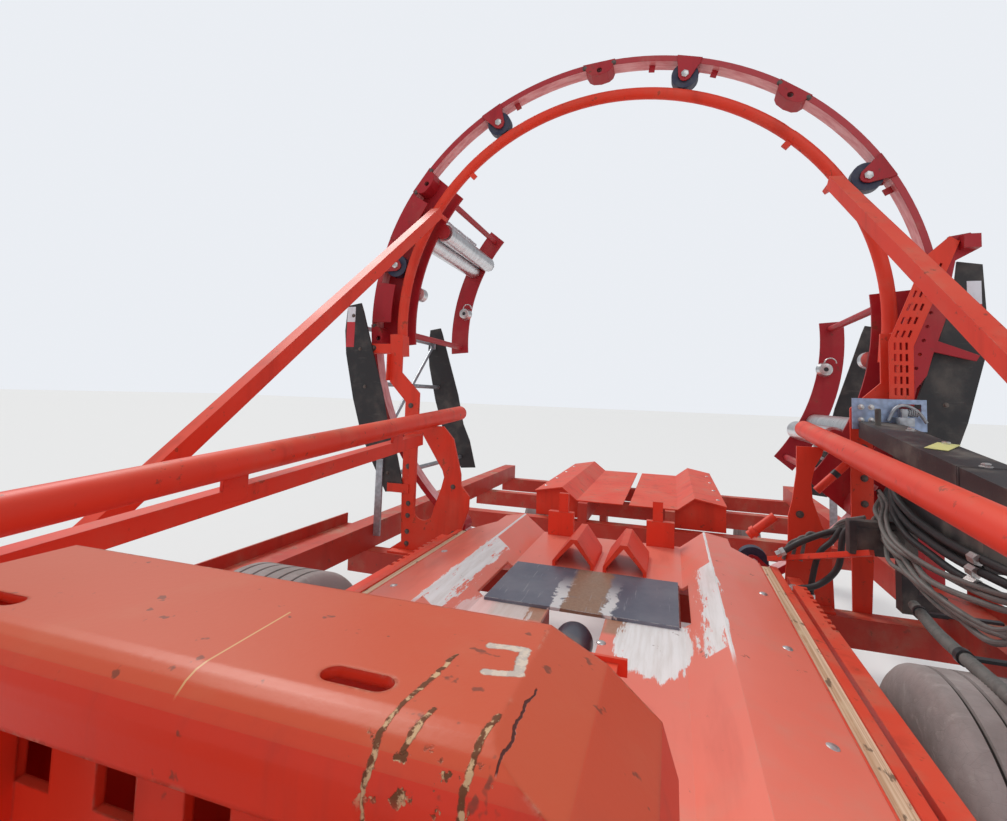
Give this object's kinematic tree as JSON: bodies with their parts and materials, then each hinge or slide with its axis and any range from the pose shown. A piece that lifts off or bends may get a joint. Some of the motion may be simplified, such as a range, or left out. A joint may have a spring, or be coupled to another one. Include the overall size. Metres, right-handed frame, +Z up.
{
  "type": "in-line round bale wrapper",
  "caption": "Towed in-line bale wrapper: a turning ring with film stretchers round a loading table, a hydraulic pusher, road wheels and a steered rear axle.",
  "frame": {"origin": "on the ground under the middle of the machine", "axes": "+X forward, towards the drawbar's eye, +Y to the machine's left, +Z up"},
  "size_m": [7.59, 2.816, 3.0998],
  "materials": {
    "red_paint": "worn gloss",
    "crimson_paint": "worn gloss",
    "galvanised": "dull zinc",
    "black_rubber": "matt",
    "black_paint": "dusty",
    "roller_black": "satin",
    "aluminium": "brushed",
    "chrome_rod": "polished",
    "grey_paint": "dusty",
    "tyre": "dusty"
  },
  "bodies": {
    "chassis": {"cross_beams": "red_paint", "frame_rails": "red_paint", "main_axle": "red_paint", "side_beams": "red_paint", "table_plates": "red_paint", "cross_plate": "galvanised", "table_blocks": "red_paint", "bed_gutters": "red_paint", "side_rails": "red_paint", "rail_posts": "red_paint", "hoop": "red_paint", "hoop_legs": "red_paint", "hoop_braces": "red_paint", "push_barrel": "grey_paint", "drive_mount": "crimson_paint", "drive_guard": "red_paint", "guard_panels": "black_rubber", "guard_frames": "galvanised", "valve_box": "black_paint", "mount_plate": "galvanised", "rear_deck": "red_paint", "drawbar": "red_paint", "platform": "galvanised", "engine": "black_paint", "tanks": "black_paint", "controls": "grey_paint", "rear_axle": "red_paint"},
    "ring": {"ring_plate": "crimson_paint", "ring_rollers": "roller_black", "ring_lugs": "crimson_paint", "stretcher_frames": "crimson_paint", "stretcher_rollers": "aluminium"},
    "drive_wheel": {"drive_wheel": "black_rubber"},
    "pusher": {"pusher_head": "red_paint", "pusher_carriage": "red_paint", "push_rod": "chrome_rod"},
    "wheel_left": {"main_tyre_left": "tyre", "main_wheel_left": "grey_paint"},
    "wheel_right": {"main_tyre_right": "tyre", "main_wheel_right": "grey_paint"},
    "knuckle_left": {"knuckle_left": "grey_paint"},
    "knuckle_right": {"knuckle_right": "grey_paint"},
    "rear_wheel_left": {"rear_wheel_left": "tyre"},
    "rear_wheel_right": {"rear_wheel_right": "tyre"},
    "jack": {"jack": "galvanised"},
    "engine_cover": {"engine_cover": "red_paint"}
  },
  "joints": [
    {"name": "ring_turn", "type": "hinge", "parent": "chassis", "child": "ring", "pos_m": [-1.14, 0, 1.78], "axis": [1, 0, 0], "continuous": true},
    {"name": "drive_turn", "type": "hinge", "parent": "chassis", "child": "drive_wheel", "pos_m": [-1.14, 1.19133, 1.00634], "axis": [1, 0, 0], "continuous": true},
    {"name": "pusher_slide", "type": "slide", "parent": "chassis", "child": "pusher", "axis": [-1, 0, 0], "range_m": [0, 1.35]},
    {"name": "wheel_left_turn", "type": "hinge", "parent": "chassis", "child": "wheel_left", "pos_m": [0.03, 0.975, 0.3935], "axis": [0, 1, 0], "continuous": true},
    {"name": "wheel_right_turn", "type": "hinge", "parent": "chassis", "child": "wheel_right", "pos_m": [0.03, -0.975, 0.3935], "axis": [0, 1, 0], "continuous": true},
    {"name": "steer_left", "type": "hinge", "parent": "chassis", "child": "knuckle_left", "pos_m": [-3.33, 0.7, 0.24], "axis": [0, 0, 1], "range_deg": [-25, 25]},
    {"name": "steer_right", "type": "hinge", "parent": "chassis", "child": "knuckle_right", "pos_m": [-3.33, -0.7, 0.24], "axis": [0, 0, 1], "range_deg": [-25, 25]},
    {"name": "rear_wheel_left_turn", "type": "hinge", "parent": "knuckle_left", "child": "rear_wheel_left", "pos_m": [-3.33, 0.85, 0.24], "axis": [0, 1, 0], "continuous": true},
    {"name": "rear_wheel_right_turn", "type": "hinge", "parent": "knuckle_right", "child": "rear_wheel_right", "pos_m": [-3.33, -0.85, 0.24], "axis": [0, 1, 0], "continuous": true},
    {"name": "jack_slide", "type": "slide", "parent": "chassis", "child": "jack", "axis": [0, 0, 1], "range_m": [0, 0.28]},
    {"name": "cover_hinge", "type": "hinge", "parent": "chassis", "child": "engine_cover", "pos_m": [2.63, 0.65, 0.6683], "axis": [0, 1, 0], "range_deg": [0, 75]}
  ],
  "couplings": [
    {"joint": "steer_right", "follows": "steer_left", "ratio": 1},
    {"joint": "drive_turn", "follows": "ring_turn", "ratio": -13.2}
  ]
}
